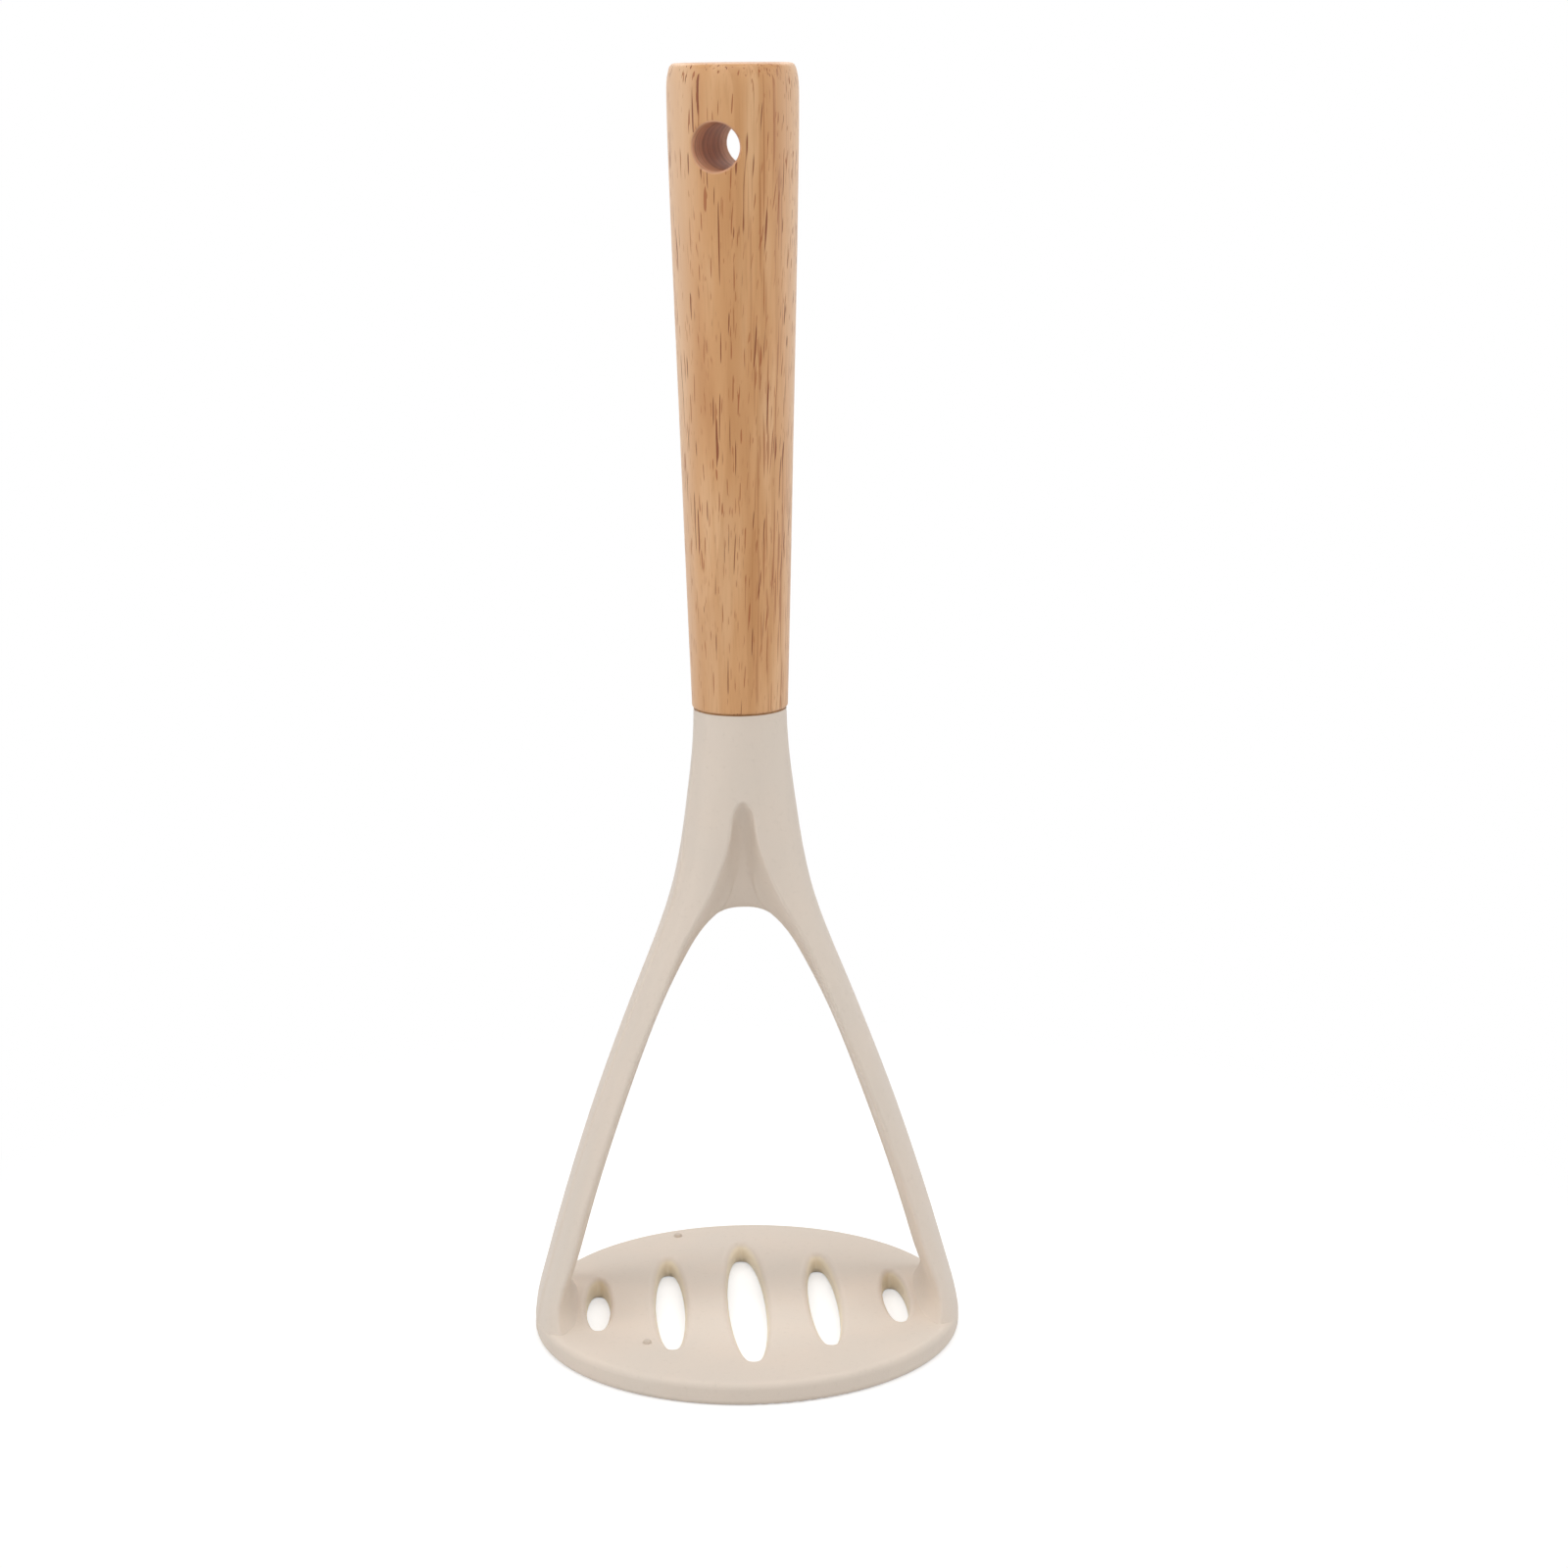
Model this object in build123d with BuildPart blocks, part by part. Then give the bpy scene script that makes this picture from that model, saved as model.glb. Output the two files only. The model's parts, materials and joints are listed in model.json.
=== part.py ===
# Potato masher: a turned wooden handle glued onto a silicone head that is moulded over a nylon core.
# Millimetres, +Z up. The origin is the middle of the mashing plate's underside.
# The two legs stand apart along X, and the plate's slots run along Y, front to back.
import os
from math import asin, cos, radians, sin

from build123d import *

os.makedirs("parts", exist_ok=True)

# Sizes of the whole object
total_height = 245.0
plate_dia = 84.0
joint_height = 124.9
overrun = 1.0

# Mashing plate
plate_thickness = 4.5
plate_rim_round = 1.2
gate_mark_dia = 1.6
gate_mark_height = 0.6
gate_mark_round = 0.45
front_gate_place = (-20.2, -20.7)
back_gate_place = (-12.9, 35.6)
slot_pitch = 15.3
outer_slot_x = 29.6
slot_length = 60.3
inner_slot_length = 46.4
outer_slot_length = 26.4
slot_width = 7.5
inner_slot_width = 5.8
outer_slot_width = 4.8
slot_lip = 1.6
outer_slot_lip = 1.1

# Outside of the head: the neck is round, and the legs run out to the plate's rim
neck_dia = 17.74
foot_half_depth = 18.8

# Opening between the legs, with a recess above it on the front and on the back
leg_width = 6.2
arch_height = 86.4
foot_land = 0.3
foot_flare = 5.6
web_half_thickness = 4.0
recess_height = 108.8
ridge_round = 0.6

# Nylon core inside the silicone
skin = 1.2
core_bar = 3.0
core_half_depth = 2.4
core_web_half_width = 8.5
core_neck_dia = 12.0
core_neck_height = 15.9

# Tang, its socket in the handle and the glue between them
tang_dia = 8.8
tang_length = 46.0
tang_chamfer = 1.2
tang_groove_depth = 0.7
tang_groove_width = 2.0
tang_groove_count = 5
glue_gap = 0.35
glue_seam = 0.35
glue_set_back = 0.3
socket_end_gap = 1.5

# Wooden handle
handle_foot_dia = 18.34
handle_foot_round = 0.45
handle_top_dia = 24.3
handle_top_flat_dia = 20.8
handle_top_drop = 7.0
hang_hole_dia = 8.8
hang_hole_drop = 14.7
hang_hole_turn = 19.0
hang_hole_round = 0.5

# Lines and places that several pieces share
plate_radius = plate_dia / 2
neck_radius = neck_dia / 2
tang_radius = tang_dia / 2
seam_top = joint_height + glue_seam
slots = (
    (-outer_slot_x, outer_slot_width, outer_slot_length, outer_slot_lip),
    (-slot_pitch, inner_slot_width, inner_slot_length, slot_lip),
    (0, slot_width, slot_length, slot_lip),
    (slot_pitch, inner_slot_width, inner_slot_length, slot_lip),
    (outer_slot_x, outer_slot_width, outer_slot_length, outer_slot_lip),
)
foot_start = outer_slot_x + outer_slot_width / 2 + outer_slot_lip + foot_land
opening_floor = plate_thickness - foot_land
arch_half_span = plate_radius - leg_width
recess_rise = recess_height - arch_height

# Head outline
# Each row is a height, a half width and a half depth. Heights are shares of the joint's height.
# Widths are shares of the way from the neck's radius to the plate's radius, and depths are
# shares of the way from the neck's radius to the foot's half depth. The last value is the
# power that says how squarely the section turns its corner.
head_section_shares = (
    (1.000, 0.000, 0.000, 6),
    (0.942, 0.010, 0.008, 6),
    (0.865, 0.043, 0.028, 6),
    (0.787, 0.085, 0.058, 6),
    (0.709, 0.149, 0.094, 6),
    (0.639, 0.239, 0.134, 7),
    (0.568, 0.345, 0.184, 8),
    (0.472, 0.484, 0.265, 8),
    (0.376, 0.616, 0.345, 9),
    (0.279, 0.737, 0.446, 10),
    (0.180, 0.850, 0.567, 10),
    (0.098, 0.937, 0.698, 11),
    (0.048, 0.986, 0.839, 12),
    (0.017, 0.999, 1.000, 12),
)
corner_angle_cap = 52
side_shares = (0.0, 0.4, 0.7, 0.85, 0.94, 1.0)
front_shares = (0.05, 0.12, 0.25, 0.5, 0.75)


def section_point(angle, half_width, half_depth, power):
    """A point on a circle of the half width that is eased in to the half depth."""
    inverse = half_width**-power
    if half_depth < half_width:
        inverse += (half_depth**-power - half_width**-power) * sin(angle) ** power
    radius = inverse ** (-1 / power)
    return radius * cos(angle), radius * sin(angle)


def back_half(half_width, half_depth, power):
    """Points of a level section of the head, from +X over the back to -X."""
    corner = min(asin(min(half_depth / half_width, 1)), radians(corner_angle_cap))
    angles = [corner * share for share in side_shares]
    angles += [corner + (radians(90) - corner) * share for share in front_shares]
    quarter = [section_point(angle, half_width, half_depth, power) for angle in angles]
    return quarter + [(0, half_depth)] + [(-x, y) for x, y in reversed(quarter)]


# Outline of the opening
# Each row is a half width, a height, a lift and a lag. Half widths are shares of the span at the
# foot, and heights are shares of the arch's height. The lift is how much higher the edge lies on
# the front than in the middle, as a share of the rise of the recess over the arch. The lag is a
# power: at 1 the edge rises evenly on its way to the front, and at 2 it does so more slowly at
# first. That leaves a channel up the middle, with a gentle slope on either side of it.
arch_row_shares = (
    (0.984, 0.1024, 0.00, 1.0),
    (0.941, 0.1690, 0.039, 1.0),
    (0.883, 0.2486, 0.089, 1.0),
    (0.771, 0.4027, 0.108, 1.0),
    (0.617, 0.5905, 0.120, 1.0),
    (0.444, 0.7766, 0.103, 1.0),
    (0.302, 0.8970, 0.177, 1.0),
    (0.193, 0.9653, 0.246, 2.0),
    (0.118, 0.9891, 0.448, 1.9),
    (0.085, 0.9948, 0.600, 1.75),
    (0.059, 0.9977, 0.821, 1.45),
    (0.045, 0.9988, 0.933, 1.35),
)
# Each row is a depth and its lift. Depths are shares of the web's half thickness
recess_row_shares = (
    (0.0, 0.0),
    (0.75, 0.0),
    (1.05, 0.34),
    (1.5, 0.71),
    (2.0, 0.92),
    (2.45, 1.0),
)
# Depths beyond the neck, where the whole lift is reached, are shares of the foot's half depth
foot_depth_shares = (0.74, 0.88, 1.02)
flare_power = 4


def opening_face(depth, lift_share, grow=0, floor=opening_floor):
    """The opening's outline on the upright plane at one depth, as a face.

    It can be grown on all sides but its floor, which is how the core's arch follows it.
    """
    widen = grow + foot_flare * (abs(depth) / foot_half_depth) ** flare_power
    side = []
    for width, height, lift, lag in arch_row_shares:
        rise = recess_rise * lift * lift_share**lag
        side.append(((arch_half_span + widen) * width, (arch_height + grow) * height + rise))
    foot = (foot_start + widen, floor)
    apex = (0, arch_height + grow + recess_rise * lift_share)
    mirrored = [(-x, z) for x, z in reversed(side)]
    with BuildSketch(Plane.XZ.offset(-depth)) as outline:
        with BuildLine():
            Spline(foot, *side, apex, *mirrored, (-foot[0], foot[1]))
            Line((-foot[0], foot[1]), foot)
        make_face()
    return outline.sketch


def plate_slots(grow):
    """The five slots as one sketch on the ground plane, each grown by the same amount."""
    with BuildSketch() as sketch:
        for x, width, length, _ in slots:
            with Locations((x, 0)):
                Ellipse(width / 2 + grow, length / 2 + grow)
    return sketch.sketch


# Outside of the neck and legs, before the opening is cut
with BuildPart() as head_body:
    for height, width, depth, power in head_section_shares:
        half_width = neck_radius + (plate_radius - neck_radius) * width
        half_depth = neck_radius + (foot_half_depth - neck_radius) * depth
        points = back_half(half_width, half_depth, power)
        with BuildSketch(Plane.XY.offset(joint_height * height)):
            with BuildLine():
                Spline(*points, tangents=((0, 1), (0, -1)))
                Spline(*[(x, -y) for x, y in points], tangents=((0, -1), (0, 1)))
            make_face()
    loft()

# The space between the legs, which rises to a pointed recess on the front and back of the neck
stations = [(web_half_thickness * share, lift) for share, lift in recess_row_shares]
stations += [(foot_half_depth * share, 1) for share in foot_depth_shares]
with BuildPart() as opening:
    for depth, lift in [(-depth, lift) for depth, lift in stations[:0:-1]] + stations:
        add(opening_face(depth, lift))
    loft()

# Mashing plate with a rounded rim, round-edged slots and the marks of two moulding gates
with BuildPart() as plate:
    with BuildSketch():
        Circle(plate_radius)
    extrude(amount=plate_thickness)
    fillet(plate.edges().filter_by(GeomType.CIRCLE), plate_rim_round)
    extrude(plate_slots(0), amount=plate_thickness, mode=Mode.SUBTRACT)
    for face in (plate.faces().sort_by(Axis.Z)[0], plate.faces().sort_by(Axis.Z)[-1]):
        for wire in face.inner_wires():
            is_outer = abs(wire.center().X) > (slot_pitch + outer_slot_x) / 2
            fillet(wire.edges(), outer_slot_lip if is_outer else slot_lip)
    with BuildSketch(Plane.XY.offset(plate_thickness)):
        with Locations(front_gate_place, back_gate_place):
            Circle(gate_mark_dia / 2)
    extrude(amount=gate_mark_height)
    fillet(plate.faces().sort_by(Axis.Z)[-2:].edges(), gate_mark_round)

# Nylon core: an arched frame on a slotted plate, with a neck and a grooved tang
frame_outside = opening_face(0, 0, skin + core_bar, skin)
frame_inside = opening_face(0, 0, skin, skin)
core_neck_foot = joint_height - core_neck_height
groove_pitch = tang_length / (tang_groove_count + 1)
with BuildPart() as core:
    extrude(frame_outside, amount=core_half_depth, both=True)
    with BuildSketch(Plane.XZ):
        with BuildLine():
            Polyline(
                (-core_web_half_width, arch_height),
                (core_web_half_width, arch_height),
                (core_neck_dia / 2, core_neck_foot + overrun),
                (-core_neck_dia / 2, core_neck_foot + overrun),
                close=True,
            )
        make_face()
    extrude(amount=core_half_depth, both=True)
    extrude(frame_inside, amount=core_half_depth + overrun, both=True, mode=Mode.SUBTRACT)
    with BuildSketch(Plane.XY.offset(skin)):
        Circle(plate_radius - skin)
        add(plate_slots(skin), mode=Mode.SUBTRACT)
    extrude(amount=plate_thickness - 2 * skin)
    with BuildSketch(Plane.XY.offset(core_neck_foot)):
        Circle(core_neck_dia / 2)
    extrude(amount=core_neck_height)
    with BuildSketch(Plane.XY.offset(joint_height)):
        Circle(tang_radius)
    extrude(amount=tang_length)
    chamfer(core.faces().sort_by(Axis.Z)[-1].edges(), tang_chamfer)
    for count in range(tang_groove_count):
        groove_height = joint_height + groove_pitch * (count + 1) - tang_groove_width / 2
        with BuildSketch(Plane.XY.offset(groove_height)):
            Circle(tang_radius + overrun)
            Circle(tang_radius - tang_groove_depth, mode=Mode.SUBTRACT)
        extrude(amount=tang_groove_width, mode=Mode.SUBTRACT)
core.part.label = "nylon_core"

# Silicone skin, moulded round the core
with BuildPart() as head:
    add(head_body.part)
    add(opening.part, mode=Mode.SUBTRACT)
    with BuildSketch():
        Rectangle(2 * foot_start - foot_land, 2 * (foot_half_depth + overrun))
    extrude(amount=plate_thickness, mode=Mode.SUBTRACT)
    split(bisect_by=Plane.XZ, keep=Keep.TOP)
    fillet(head.edges().sort_by(SortBy.LENGTH)[-1], ridge_round)
    mirror(about=Plane.XZ)
    add(plate.part)
    add(core.part, mode=Mode.SUBTRACT)
head.part.label = "silicone_head"

# Glue: a thin film in the joint, and a sleeve that fills the tang's grooves
with BuildPart() as glue:
    with BuildSketch(Plane.XY.offset(joint_height)):
        Circle(neck_radius - glue_set_back)
    extrude(amount=glue_seam)
    with BuildSketch(Plane.XY.offset(joint_height)):
        Circle(tang_radius + glue_gap)
    extrude(amount=tang_length)
    add(core.part, mode=Mode.SUBTRACT)
glue.part.label = "handle_glue"

# Wooden handle, turned, with a blind socket for the tang and a hole to hang it by
foot_radius = handle_foot_dia / 2
top_radius = handle_top_dia / 2
flat_radius = handle_top_flat_dia / 2
swell_height = total_height - handle_top_drop
taper_start = seam_top + handle_foot_round
# Each row is a height between the foot and the swell and how much of the growth is done there
taper_shares = ((0.18, 0.20), (0.48, 0.515), (0.76, 0.815), (0.91, 0.95))
cap_share = 0.79
foot_end = (foot_radius, taper_start)
taper = [
    (
        foot_radius + (top_radius - foot_radius) * growth,
        taper_start + (swell_height - taper_start) * height,
    )
    for height, growth in taper_shares
]
swell = (top_radius, swell_height)
cap = (
    flat_radius + (top_radius - flat_radius) * cap_share,
    swell_height + handle_top_drop * cap_share,
)
foot_slope = (top_radius - foot_radius, swell_height - taper_start)
hole_turn = radians(hang_hole_turn)
hole_plane = Plane(
    origin=(0, 0, total_height - hang_hole_drop),
    z_dir=(-sin(hole_turn), -cos(hole_turn), 0),
)
with BuildPart() as handle:
    with BuildSketch(Plane.XZ):
        with BuildLine():
            Line((0, total_height), (0, seam_top))
            Line((0, seam_top), (foot_radius - handle_foot_round, seam_top))
            RadiusArc((foot_radius - handle_foot_round, seam_top), foot_end, -handle_foot_round)
            Spline(foot_end, *taper, swell, tangents=(foot_slope, (0, 1)))
            Spline(swell, cap, (flat_radius, total_height), tangents=((0, 1), (-1, 0)))
            Line((flat_radius, total_height), (0, total_height))
        make_face()
    revolve()
    with BuildSketch(hole_plane):
        Circle(hang_hole_dia / 2)
    extrude(amount=handle_top_dia, both=True, mode=Mode.SUBTRACT)
    fillet(handle.edges(Select.LAST), hang_hole_round)
    with BuildSketch(Plane.XY.offset(seam_top)):
        Circle(tang_radius + glue_gap)
    extrude(amount=tang_length - glue_seam + socket_end_gap, mode=Mode.SUBTRACT)
handle.part.label = "wooden_handle"

for piece in (handle, head, core, glue):
    export_step(piece.part, f"parts/{piece.part.label}.step")
    print(piece.part.label, piece.part.is_valid, round(piece.part.volume), len(piece.solids()))
    print(piece.part.bounding_box())
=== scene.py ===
# %% [markdown]
# # A potato masher, from CAD part to studio picture
#
# This lesson dresses a finished CAD part in Blender. The masher is a turned wooden handle that is
# glued onto a head of matte silicone. The head is moulded over a stiff nylon core that is out of
# sight. The CAD part already has the right shapes, so the work here is in the finishes: lacquered
# wood with dark pores, and silicone with a soft, dusty sheen.
#
# Blender measures in metres. +Z is up, the two legs stand apart along X, and the front is -Y.

# %% Load the part
import json
from math import radians

import bpy
from mathutils import Matrix, Vector

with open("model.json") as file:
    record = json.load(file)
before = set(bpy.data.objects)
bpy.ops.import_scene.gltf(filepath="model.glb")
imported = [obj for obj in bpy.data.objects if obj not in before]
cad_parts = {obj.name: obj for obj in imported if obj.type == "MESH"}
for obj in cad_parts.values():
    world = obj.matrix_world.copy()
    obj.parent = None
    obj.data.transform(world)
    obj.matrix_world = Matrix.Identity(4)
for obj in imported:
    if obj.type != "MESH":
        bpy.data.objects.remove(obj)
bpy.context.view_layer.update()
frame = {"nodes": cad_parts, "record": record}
nodes = frame["nodes"]
mounts = {mount["name"]: mount for mount in frame["record"]["mounts"]}
print("nodes:", sorted(nodes))

# %% [markdown]
# ## The camera
#
# The picture is a long-lens product shot from a little above. The camera stands 0.61 m in front of
# the head, a little over the handle's top, and looks down at it by 13 degrees. The head is turned
# by 3 degrees from the line of sight, so the camera stands that much off to the left.
# A camera matrix is built from turns: first the roll about the lens, then the tilt, then the turn
# about the upright axis. Building it from named angles keeps each of them easy to change alone.

# %% Place the camera
picture_width = 1600
focal_in_pixels = 3330
sensor_width = 36
camera_turn = radians(-3.1)
camera_tilt = radians(90 - 13.13)
camera_roll = radians(-0.51)
camera_place = Vector((-0.02473, -0.60942, 0.252))
far_clip = 100

camera_data = bpy.data.cameras.new("product_camera")
camera_data.sensor_width = sensor_width
camera_data.lens = sensor_width * focal_in_pixels / picture_width
camera_data.clip_end = far_clip
camera = bpy.data.objects.new("product_camera", camera_data)
bpy.context.scene.collection.objects.link(camera)
camera.matrix_world = (
    Matrix.Translation(camera_place)
    @ Matrix.Rotation(camera_turn, 4, "Z")
    @ Matrix.Rotation(camera_tilt, 4, "X")
    @ Matrix.Rotation(camera_roll, 4, "Z")
)
bpy.context.scene.camera = camera
bpy.context.scene.view_settings.view_transform = "Standard"
print("lens:", round(camera_data.lens, 1), "mm")

# %% [markdown]
# ## Node sockets that can do sums
#
# A material's maths is easier to read as a formula than as a row of node calls. The class below
# wraps one output socket. Adding, subtracting, multiplying or dividing two of them adds a Math
# node. The method `node` adds any other kind: it sets the node up first, then fills its sockets
# with numbers or links. The rest are short names for the kinds that this picture needs most.

# %% A wrapper for sockets
class Shade:
    """One output socket in a material's node tree."""

    def __init__(self, tree, socket=None):
        self.tree = tree
        self.socket = socket

    def node(self, kind, settings, sockets, output=0):
        """Adds a node and returns one of its outputs."""
        made = self.tree.nodes.new(kind)
        for name, value in settings.items():
            if name == "stops":
                ramp = made.color_ramp
                while len(ramp.elements) < len(value):
                    ramp.elements.new(0.5)
                for element, (place, colour) in zip(ramp.elements, value):
                    element.position = place
                    element.color = colour
            else:
                setattr(made, name, value)
        for name, value in sockets.items():
            if isinstance(value, Shade):
                self.tree.links.new(value.socket, made.inputs[name])
            else:
                made.inputs[name].default_value = value
        return Shade(self.tree, made.outputs[output] if made.outputs else None)

    def maths(self, operation, *values):
        """A Math node on one or two values."""
        return self.node("ShaderNodeMath", {"operation": operation}, dict(enumerate(values)))

    def __add__(self, other):
        return self.maths("ADD", self, other)

    def __radd__(self, other):
        return self.maths("ADD", other, self)

    def __sub__(self, other):
        return self.maths("SUBTRACT", self, other)

    def __rsub__(self, other):
        return self.maths("SUBTRACT", other, self)

    def __mul__(self, other):
        return self.maths("MULTIPLY", self, other)

    def __rmul__(self, other):
        return self.maths("MULTIPLY", other, self)

    def __truediv__(self, other):
        return self.maths("DIVIDE", self, other)

    def __rtruediv__(self, other):
        return self.maths("DIVIDE", other, self)

    def vector(self, operation, other=(0, 0, 0), output=0):
        """Vector maths on this vector, and on another where the operation needs one."""
        settings = {"operation": operation}
        return self.node("ShaderNodeVectorMath", settings, {0: self, 1: other}, output)

    def coordinate(self, index):
        """One coordinate of this place: 0 is X, 1 is Y and 2 is Z."""
        return self.node("ShaderNodeSeparateXYZ", {}, {0: self}, index)

    def place(self, x, y, z):
        """A place made of three coordinates."""
        return self.node("ShaderNodeCombineXYZ", {}, {0: x, 1: y, 2: z})

    def step(self, low, high):
        """A smooth step from 0 at low to 1 at high. With low above high it falls instead."""
        settings = {"interpolation_type": "SMOOTHSTEP"}
        return self.node("ShaderNodeMapRange", settings, {"Value": self, 1: low, 2: high})

    def ramp(self, *stops):
        """A colour that runs through the stops, each of which is a value and a colour."""
        return self.node("ShaderNodeValToRGB", {"stops": stops}, {0: self})

    def mix(self, other, share):
        """This colour turned into another one by a share from 0 to 1."""
        return self.node("ShaderNodeMix", {"data_type": "RGBA"}, {0: share, 6: self, 7: other}, 2)

    def noise(self, across, along, seed, detail=2.0):
        """Smooth noise of this place in millimetres, with features that wide and that long."""
        moved = {
            "Vector": self,
            "Location": (seed, seed, seed),
            "Scale": (1 / across, 1 / across, 1 / along),
        }
        place = self.node("ShaderNodeMapping", {}, moved)
        sockets = {"Vector": place, "Scale": 1.0, "Detail": detail}
        return self.node("ShaderNodeTexNoise", {}, sockets)


print("operators:", [name for name in vars(Shade) if name.startswith("__")])

# %% [markdown]
# A finish starts with an empty material. `new_finish` returns it with the place on the object in
# millimetres, so that every size in a pattern can be read as a real size. `finish_with` ends it: it
# sends the colour, the roughness and the bump to one Principled shader. Values that are the same
# all over are set on the shader's own sockets.

# %% Start and end a finish
millimetres = 1000


def linear(red, green, blue):
    """A colour from the 0 to 255 values of a picture, as the light values that shaders use."""
    shares = [value / 255 for value in (red, green, blue)]
    light = [s / 12.92 if s <= 0.04045 else ((s + 0.055) / 1.055) ** 2.4 for s in shares]
    return (*light, 1.0)


def new_finish(name):
    """An empty material, and the place on the object in millimetres."""
    material = bpy.data.materials.new(name)
    material.use_nodes = True
    material.node_tree.nodes.clear()
    place = Shade(material.node_tree).node("ShaderNodeTexCoord", {}, {}, "Object")
    return material, place.vector("MULTIPLY", (millimetres, millimetres, millimetres))


def finish_with(place, colour, roughness, height, bump, constants):
    """Ends a material. The bump is the depth of the height's pattern in millimetres."""
    relief = {"Height": height, "Distance": bump / millimetres, "Strength": 1.0}
    normal = place.node("ShaderNodeBump", {}, relief)
    sockets = {"Base Color": colour, "Roughness": roughness, "Normal": normal}
    shader = place.node("ShaderNodeBsdfPrincipled", {}, {**constants, **sockets})
    place.node("ShaderNodeOutputMaterial", {}, {"Surface": shader})


def dress(name, material):
    """Gives a CAD node its finish. Its mesh stays as it is."""
    slots = nodes[name].material_slots
    for slot in slots:
        slot.material = material
    print(name, "wears", material.name, "in", len(slots), "slot")


print("a place is multiplied by", millimetres)

# %% [markdown]
# ## The wooden handle
#
# The handle is turned from a light hardwood with open pores. Its growth rings are distances from
# the heart of the tree, which lies far behind the handle and to its right. So on the front's left
# the surface runs along the rings and the bands are wide, and on the right it cuts across them and
# shows many close lines. Slow noise that is stretched along the grain makes the bands wander.
#
# On the right the rings end at the surface as fine, straight lines. Noise that is narrow across the
# grain and very long along it draws them, and a step along X keeps them on that side.

# %% Rings of the wood
wood, grain = new_finish("lacquered_wood")
heart = (36.0, 44.0, 0.0)
ring_width = 3.1
wander_depth = 3.0

side_way = grain.coordinate(0)
wander = grain.noise(across=9.0, along=55.0, seed=1.7)
level_place = grain.vector("MULTIPLY", (1, 1, 0))
from_heart = level_place.vector("DISTANCE", heart, "Value") + wander_depth * wander
ring_place = from_heart / ring_width
ring_share = ring_place.maths("FRACT", ring_place)
late_wood = ring_share.step(0.35, 0.95) * ring_share.step(1.0, 0.95)
straight_lines = grain.noise(across=0.4, along=90.0, seed=6.1, detail=0.0).step(0.6, 0.68)
ring_lines = straight_lines * side_way.step(0.5, 5.0)
print("rings every", ring_width, "mm")

# %% [markdown]
# The wood's colour is built up in coats, as a painter would do it. Slow patches of honey, tan and
# pale tan lie below. The rings' late wood, the fibres and the straight lines are each mixed in by
# their own mask. The turned sides get a painted sheen: a pale cream for the light their lacquer
# catches at the edges.

# %% Colour of the wood without its pores
honey = linear(209, 152, 99)
tan = linear(220, 166, 114)
pale = linear(231, 184, 137)
late_brown = linear(198, 140, 86)
fibre_brown = linear(198, 142, 90)
line_brown = linear(176, 108, 62)
painted_side_sheen = linear(250, 212, 176)

slow_patch = grain.noise(across=5.0, along=40.0, seed=9.1)
fibres = grain.noise(across=0.3, along=7.0, seed=3.3, detail=3.0)
wood_colour = slow_patch.ramp((0.32, honey), (0.5, tan), (0.7, pale))
wood_colour = wood_colour.mix(late_brown, late_wood * 0.35)
wood_colour = wood_colour.mix(fibre_brown, fibres.step(0.48, 0.75) * 0.35)
wood_colour = wood_colour.mix(line_brown, ring_lines * 0.75)
# Painted sheen: the sides are made paler towards the edges, standing in for light on the lacquer.
side_sheen_mask = side_way.maths("ABSOLUTE", side_way).step(6.5, 11.5)
wood_colour = wood_colour.mix(painted_side_sheen, side_sheen_mask * 0.75)
print("base colours:", tan[:3], honey[:3])

# %% [markdown]
# The pores are cut lengthwise, so they show as thin, reddish-brown dashes. Noise that is narrow
# across the grain and long along it gives them: only its highest values are kept, which are slim
# streaks with pointed ends. A second, much slower noise gathers them in groups. The streaks lean
# more and more to the right the further right they lie. Three layers differ in length, from short
# nicks to streaks of more than a centimetre.

# %% Pores
handle_middle = 185
lean_in_middle = 0.04
lean_growth = 0.006
up_way = grain.coordinate(2)
lean = (up_way - handle_middle) * (side_way * lean_growth + lean_in_middle)


def pores(width, length, level, group_width, group_length, seed):
    """Streaks along the grain, from 0 to 1. A higher level leaves fewer of them."""
    sway = grain.noise(across=5.0, along=18.0, seed=seed + 0.5, detail=1.0) * 0.9
    swayed = grain.vector("ADD", grain.place(sway - lean, sway, 0.0))
    streaks = swayed.noise(across=width, along=length, seed=seed, detail=0.0)
    group = grain.noise(across=group_width, along=group_length, seed=seed + 3.0, detail=1.0)
    return (streaks + 0.25 * (group - 0.5)).step(level, level + 0.06)


bold_pores = pores(0.4, 13.0, level=0.735, group_width=4.0, group_length=26.0, seed=2.0)
fine_pores = pores(0.32, 7.0, level=0.725, group_width=3.0, group_length=16.0, seed=11.0)
short_pores = pores(0.28, 3.6, level=0.73, group_width=5.0, group_length=30.0, seed=23.0)
wood_colour = wood_colour.mix(linear(180, 108, 60), short_pores * 0.65)
wood_colour = wood_colour.mix(linear(168, 92, 46), fine_pores * 0.8)
wood_colour = wood_colour.mix(linear(138, 68, 30), bold_pores * 0.9)
print("the pores lean by", lean_in_middle, "in the middle")

# %% [markdown]
# The hanging hole was drilled after the handle was turned, so its wall is bare wood with the rings
# that the drill left. A place is on that wall when it lies near the hole's axis, so the mask is a
# distance from a line: the cross product of the offset and the line's direction has that length.
# The part's record says where the hole is, so nothing has to be measured again.

# %% The wall of the hanging hole
hole = mounts["hang_hole"]
hole_middle = [value * millimetres for value in hole["pos_m"]]
hole_axis = [-value for value in hole["axis"]]
hole_radius = hole["dims"]["r_mm"]
bare_wood_with_painted_light = linear(236, 184, 148)
drill_brown = linear(176, 122, 90)

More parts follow.
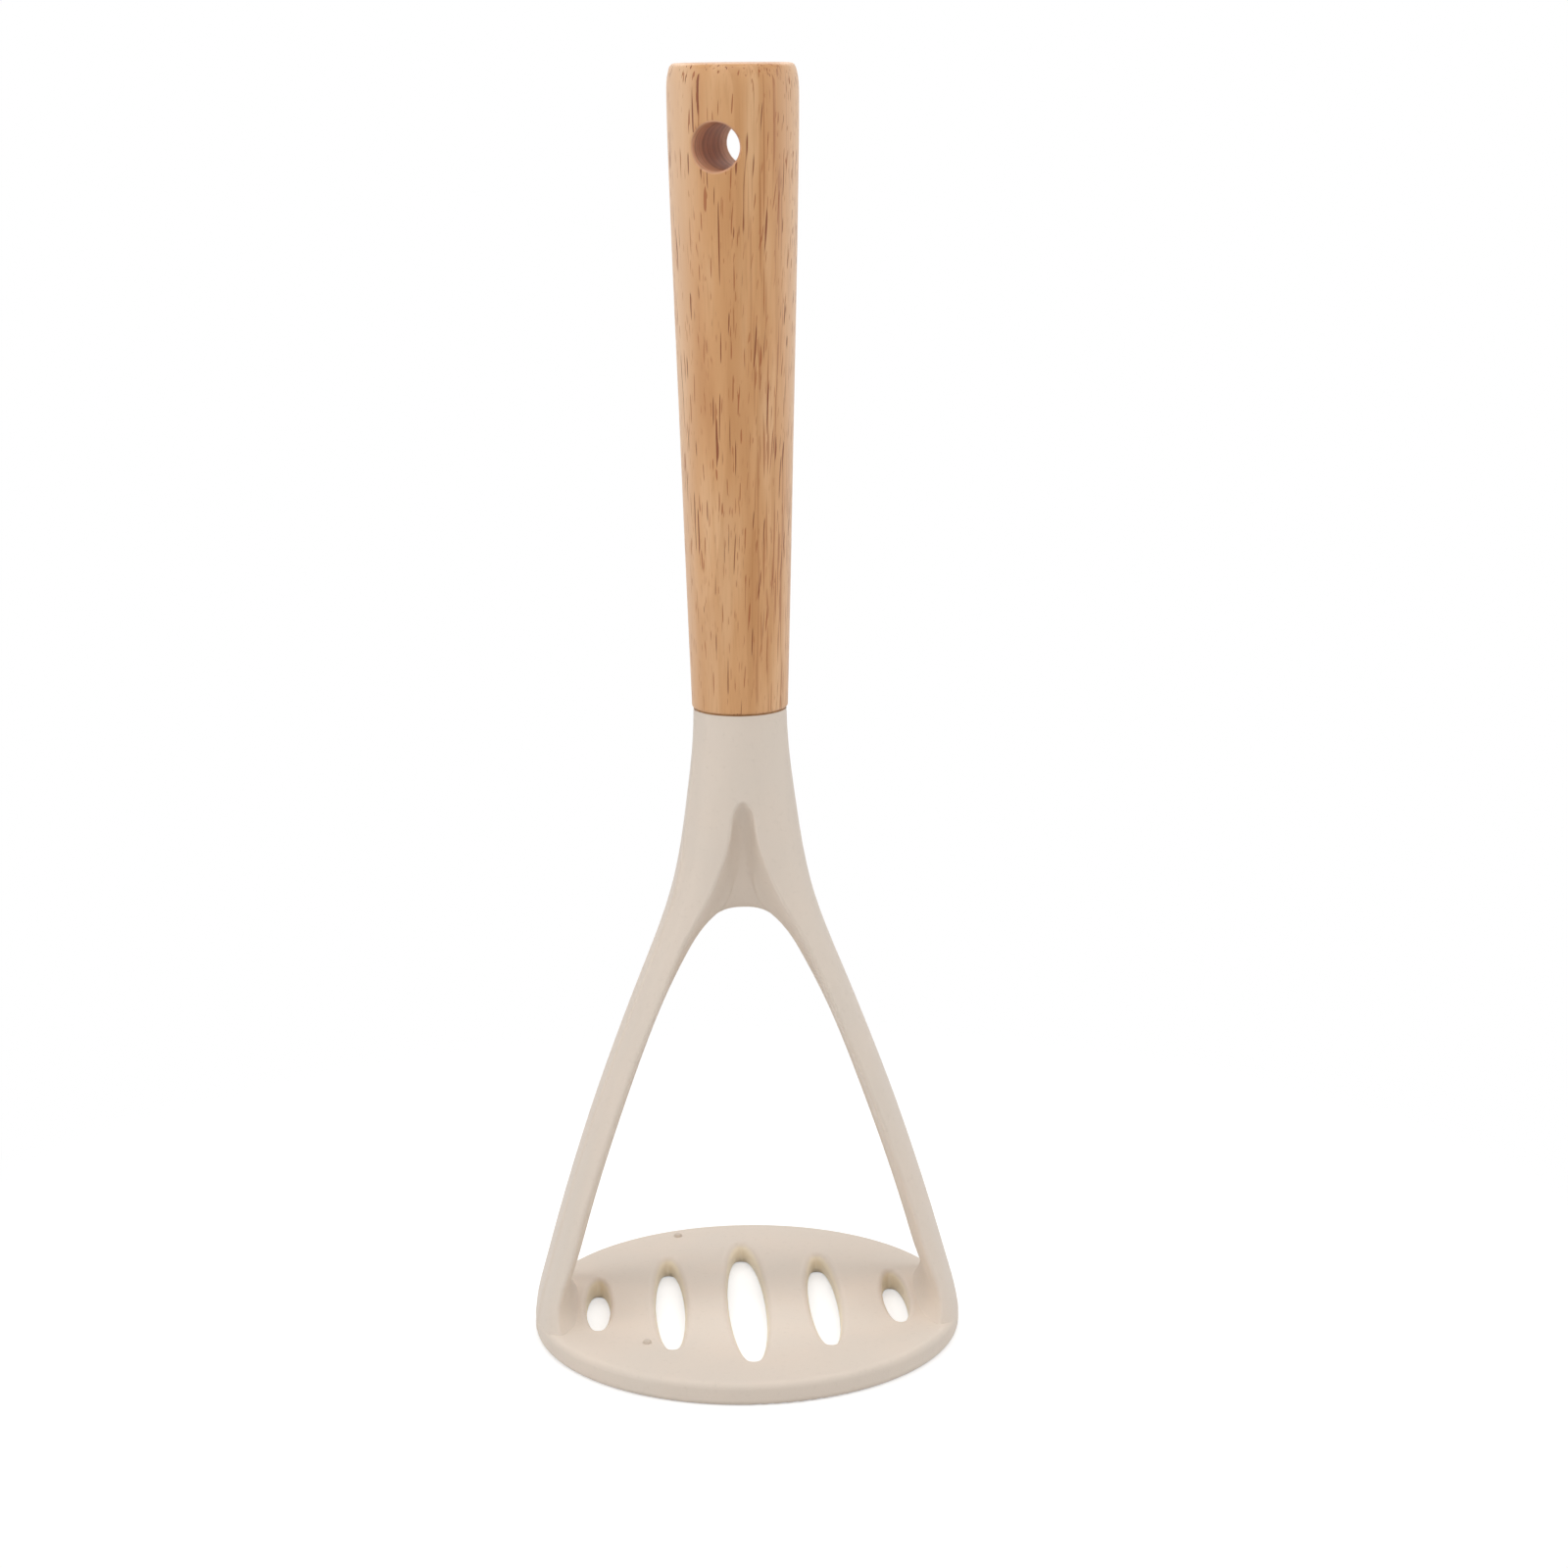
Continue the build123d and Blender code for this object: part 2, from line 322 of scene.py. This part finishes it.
offset = grain.vector("SUBTRACT", hole_middle)
from_axis = offset.vector("CROSS_PRODUCT", hole_axis).vector("LENGTH", output="Value")
in_hole = from_axis.step(hole_radius + 0.5, hole_radius + 0.15)
along_axis = offset.vector("DOT_PRODUCT", hole_axis, "Value")
drilled = grain.place(along_axis, 0.0, from_axis)
drill_rings = drilled.noise(across=0.9, along=3.0, seed=5.0).step(0.42, 0.6)
# Partly painted light: the wall is bare wood, and its colour is made paler still to lift the shade
# inside the hole.
wood_colour = wood_colour.mix(bare_wood_with_painted_light, in_hole * 0.92)
wood_colour = wood_colour.mix(drill_brown, in_hole * drill_rings * 0.5)
print("hole axis:", [round(value, 3) for value in hole_axis], "radius:", hole_radius, "mm")

# %% [markdown]
# The lacquer is thin and satin. It sinks into the pores, so they are a few hundredths of a
# millimetre deep, and it doesn't reach the hole's wall, which is therefore duller.

# %% Finish the wood
wood_height = fibres * 0.15 - bold_pores * 0.6 - fine_pores * 0.4 + drill_rings * in_hole * 0.5
wood_roughness = 0.36 + 0.2 * fibres + 0.25 * in_hole
lacquer = {"Specular IOR Level": 0.45, "Coat Weight": 0.12, "Coat Roughness": 0.28}
finish_with(grain, wood_colour, wood_roughness, wood_height, bump=0.08, constants=lacquer)
dress("wooden_handle", wood)

# %% [markdown]
# ## The silicone head
#
# Kitchen silicone is matte with a soft sheen at its edges, a little uneven in tone, and it collects
# fine dust. Its colour here is a warm, greyish cream. The unevenness is slow noise of about a
# centimetre, and the skin's fine moulded grain is a bump of a few hundredths of a millimetre.

# %% Colour of the silicone
silicone, skin = new_finish("cream_silicone")
cream = linear(229, 216, 202)
warm_cream = linear(233, 218, 203)
dust = linear(214, 200, 185)

clouds = skin.noise(across=14.0, along=14.0, seed=4.4)
specks = skin.noise(across=1.1, along=1.1, seed=7.7, detail=3.0)
moulded_grain = skin.noise(across=0.22, along=0.22, seed=2.2)
silicone_colour = clouds.ramp((0.3, cream), (0.7, warm_cream))
silicone_colour = silicone_colour.mix(dust, specks.step(0.56, 0.8) * 0.3)
print("silicone colours:", cream[:3], warm_cream[:3])

# %% [markdown]
# Two small marks that the mould's gates left on the plate get painted shade: they are made a little
# darker, as their steep little faces look in soft light. The walls of the
# slots get painted light: they are made lighter and more yellow, for the light that comes through
# the thin skin there.
# Both are found by their place: the marks by a distance from their middles, and the slots' walls
# as all that lies within the plate's thickness and isn't near its rim.

# %% Marks and slots
plate_top = 4.5
slots_reach = 38.0
gate_marks = ((-20.2, -20.7, 4.9), (-12.9, 35.6, 4.9))
gate_painted_shade = linear(190, 174, 158)
slot_painted_light = linear(255, 242, 218)

# Painted shade: the gate marks are made darker, as their steep faces look in soft light.
for gate_mark in gate_marks:
    near_mark = skin.vector("DISTANCE", gate_mark, "Value").step(1.25, 0.75)
    silicone_colour = silicone_colour.mix(gate_painted_shade, near_mark * 0.45)
skin_height = skin.coordinate(2)
in_plate = skin_height.step(0.1, 0.6) * skin_height.step(plate_top - 0.2, plate_top - 1.1)
from_middle = skin.vector("MULTIPLY", (1, 1, 0)).vector("LENGTH", output="Value")
# Painted light: the slots' walls are made lighter and more yellow, standing in for light through
# the thin skin.
slot_wall = in_plate * from_middle.step(slots_reach, slots_reach - 1)
silicone_colour = silicone_colour.mix(slot_painted_light, slot_wall * 0.9)
print("gate marks:", len(gate_marks))

# %% Finish the silicone
silicone_roughness = 0.52 + 0.16 * clouds
silicone_height = moulded_grain * 0.6 + specks * 0.4
matte = {"Specular IOR Level": 0.35, "Sheen Weight": 0.12, "Sheen Roughness": 0.5}
finish_with(skin, silicone_colour, silicone_roughness, silicone_height, bump=0.04, constants=matte)
dress("silicone_head", silicone)

# %% [markdown]
# ## The core and the glue
#
# The core is hidden, but it is dressed as well, so that a cut-open view of the part looks right.
# The glue shows as a thin line where the head meets the handle, set back a little from both. Both
# finishes are slow noise between two close colours, which is all that such small faces need.

# %% Nylon
nylon, inside = new_finish("moulded_nylon")
nylon_cloud = inside.noise(across=2.0, along=2.0, seed=1.0)
nylon_colour = nylon_cloud.ramp((0.3, linear(204, 188, 172)), (0.7, linear(212, 197, 181)))
nylon_roughness = 0.5 + 0.1 * nylon_cloud
semi_matte = {"Specular IOR Level": 0.4}
finish_with(inside, nylon_colour, nylon_roughness, nylon_cloud, bump=0.03, constants=semi_matte)
dress("nylon_core", nylon)

# %% Glue
glue, bead = new_finish("brown_glue")
bead_cloud = bead.noise(across=1.2, along=0.5, seed=3.0)
glue_colour = bead_cloud.ramp((0.3, linear(168, 124, 78)), (0.7, linear(196, 152, 104)))
glue_roughness = 0.45 + 0.2 * bead_cloud
finish_with(bead, glue_colour, glue_roughness, bead_cloud, bump=0.05, constants=semi_matte)
dress("handle_glue", glue)

# %% [markdown]
# ## Floor and backdrop
#
# The picture has a plain white ground. The floor is one sweep: a plane whose back edge is extruded
# upward, and whose corner is then bevelled into a curve, so no line shows behind the object.

# %% The sweep
floor_size = 8
back_height = 4
curve_reach = 1.5
back_zone = floor_size / 2 - 1

bpy.ops.object.select_all(action="DESELECT")
bpy.ops.mesh.primitive_plane_add(size=floor_size, location=(0, 0, 0))
floor = bpy.context.object
floor.name = "studio_floor"


def select_back_edge():
    """Selects the floor's back edge alone."""
    for edge in floor.data.edges:
        ends = [floor.data.vertices[index].co for index in edge.vertices]
        edge.select = all(end.y > back_zone and end.z < 1 for end in ends)


bpy.ops.object.mode_set(mode="EDIT")
bpy.ops.mesh.select_all(action="DESELECT")
bpy.ops.mesh.select_mode(type="EDGE")
bpy.ops.object.mode_set(mode="OBJECT")
select_back_edge()
bpy.ops.object.mode_set(mode="EDIT")
bpy.ops.mesh.extrude_region_move(TRANSFORM_OT_translate={"value": (0, 0, back_height)})
bpy.ops.object.mode_set(mode="OBJECT")
select_back_edge()
bpy.ops.object.mode_set(mode="EDIT")
bpy.ops.mesh.bevel(offset=curve_reach, segments=12)
bpy.ops.object.mode_set(mode="OBJECT")
bpy.ops.object.shade_smooth_by_angle(angle=radians(60))
print("sweep faces:", len(floor.data.polygons))

# %% [markdown]
# The floor's finish glows a little, but only for the camera and in reflections, so it keeps the
# soft shadow near the object and throws no extra light on it. Further away it turns into plain
# white, for the same rays alone. A Mix Shader does that, with the distance as its factor.

# %% White paper
paper = bpy.data.materials.new("white_paper")
paper.use_nodes = True
paper.node_tree.nodes.clear()
sheet = Shade(paper.node_tree)
light_white = (1, 1, 1, 1)
paper_grey = (0.68, 0.68, 0.68, 1)
glow = 0.5

seen = sheet.node("ShaderNodeLightPath", {}, {}, "Is Camera Ray")
mirrored = sheet.node("ShaderNodeLightPath", {}, {}, "Is Glossy Ray")
shown = seen + mirrored
diffuse = sheet.node("ShaderNodeBsdfDiffuse", {}, {"Color": paper_grey})
lift = sheet.node("ShaderNodeEmission", {}, {"Color": light_white, "Strength": shown * glow})
near_paper = sheet.node("ShaderNodeAddShader", {}, {0: diffuse, 1: lift})
far_paper = sheet.node("ShaderNodeEmission", {}, {"Color": light_white, "Strength": 1.0})
spot = sheet.node("ShaderNodeTexCoord", {}, {}, "Object")
far = spot.vector("LENGTH", output="Value").step(0.07, 0.2)
ground = sheet.node("ShaderNodeMixShader", {}, {0: far * shown, 1: near_paper, 2: far_paper})
sheet.node("ShaderNodeOutputMaterial", {}, {"Surface": ground})
floor.data.materials.append(paper)
print("paper nodes:", len(paper.node_tree.nodes))

# %% [markdown]
# ## The light
#
# The world gives a low, even light from all sides, and is plain white where the camera looks at it.
# Five soft boxes do the rest. Two tall ones at the sides brighten the round edges of the handle and
# the neck, a large one above the front lights the plate, one behind reaches it through the arch,
# and a weak one in front opens the shadows.

# %% The world
world = bpy.data.worlds.new("studio_world")
world.use_nodes = True
bpy.context.scene.world = world
world.node_tree.nodes.clear()
air = Shade(world.node_tree)
ambient = 0.26

looked_at = air.node("ShaderNodeLightPath", {}, {}, "Is Camera Ray")
strength = ambient + (1 - ambient) * looked_at
sky = air.node("ShaderNodeBackground", {}, {"Color": light_white, "Strength": strength})
air.node("ShaderNodeOutputWorld", {}, {"Surface": sky})
print("ambient light:", ambient)

# %% Soft boxes
aim = Vector((0, 0, 0.11))


def soft_box(name, place, width, height, watts):
    """An area light that faces the object's middle."""
    lamp = bpy.data.lights.new(name, "AREA")
    lamp.shape = "RECTANGLE"
    lamp.size = width
    lamp.size_y = height
    lamp.energy = watts
    box = bpy.data.objects.new(name, lamp)
    bpy.context.scene.collection.objects.link(box)
    box.location = place
    box.rotation_euler = (aim - Vector(place)).to_track_quat("-Z", "Y").to_euler()
    print(name, watts, "W")


soft_box("left_box", (-1.1, -0.35, 0.5), width=0.7, height=1.2, watts=4.5)
soft_box("right_box", (1.1, -0.2, 0.45), width=0.7, height=1.2, watts=3.7)
soft_box("low_front_box", (0.0, -1.25, 0.55), width=1.2, height=0.7, watts=1.3)
soft_box("high_front_box", (0.0, -0.55, 1.15), width=1.4, height=1.0, watts=6.9)
soft_box("high_back_box", (0.0, 0.75, 1.0), width=1.4, height=0.8, watts=6.2)

# %% [markdown]
